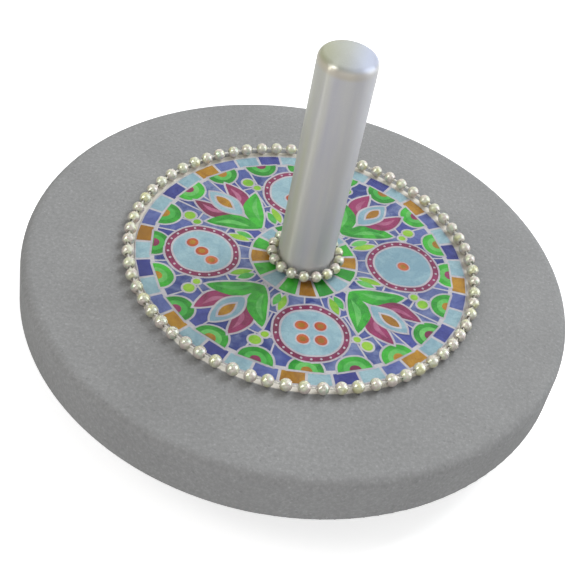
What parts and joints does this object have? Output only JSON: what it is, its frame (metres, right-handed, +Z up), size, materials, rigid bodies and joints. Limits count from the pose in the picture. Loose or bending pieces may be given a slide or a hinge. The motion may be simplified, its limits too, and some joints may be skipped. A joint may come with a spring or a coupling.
{
  "type": "dreidel",
  "caption": "Spinning top with a heavy round disc, a printed face under clear film, a turned spindle and strings of small pearl beads.",
  "frame": {"origin": "the point that the top spins on, where it touches the table", "axes": "+Z up along the spin axis, from the point to the crown of the handle"},
  "size_m": [0.088, 0.088, 0.056],
  "materials": {
    "disc": "fine-grained neutral grey, matte",
    "spindle": "pearly silver-grey, glossy",
    "print": "full-colour print",
    "film": "clear, glossy",
    "pearl": "ivory pearl with a pink and gold lustre",
    "thread": "white thread"
  },
  "bodies": {
    "root": {"disc": "disc", "spindle": "spindle", "printed_face": "print", "clear_film": "film", "rim_beads": "pearl", "rim_thread": "thread", "collar_beads": "pearl", "collar_thread": "thread"}
  },
  "joints": []
}
